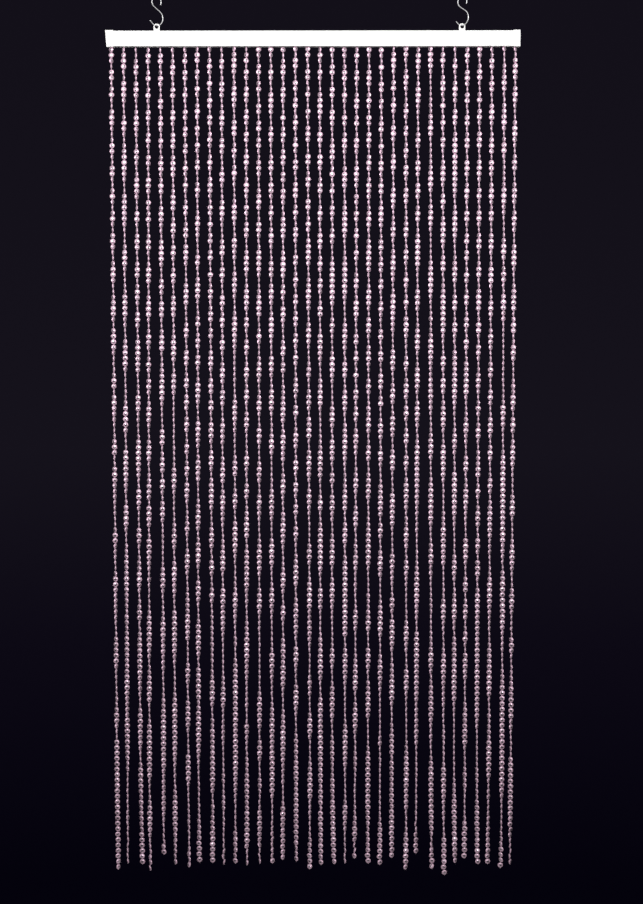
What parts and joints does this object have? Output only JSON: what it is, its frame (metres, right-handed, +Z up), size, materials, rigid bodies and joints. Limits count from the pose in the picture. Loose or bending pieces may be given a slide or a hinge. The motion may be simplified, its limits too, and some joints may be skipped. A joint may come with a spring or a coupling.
{
  "type": "bead curtain with header rail",
  "caption": "Doorway curtain of long strands of faceted disc beads hanging from a slim header rail with end caps, eyed hanger tabs and S-hooks.",
  "frame": {"origin": "midway along the rail's length and depth, at the height where the upper bows of the S-hooks bear on what holds them", "axes": "+Z up, -Y towards the front, +X to the right as seen from the front"},
  "size_m": [0.8944, 0.0288, 1.9268],
  "materials": {
    "white_plastic": "smooth white, slightly glossy",
    "zinc_wire": "bright zinc-plated wire",
    "pink_pearl": "pearly mauve-pink, glossy facets"
  },
  "bodies": {
    "root": {"rail": "white_plastic", "end_cap_left": "white_plastic", "end_cap_right": "white_plastic", "hanger_left": "white_plastic", "hanger_right": "white_plastic", "hook_left": "zinc_wire", "hook_right": "zinc_wire", "strands": "pink_pearl"}
  },
  "joints": []
}
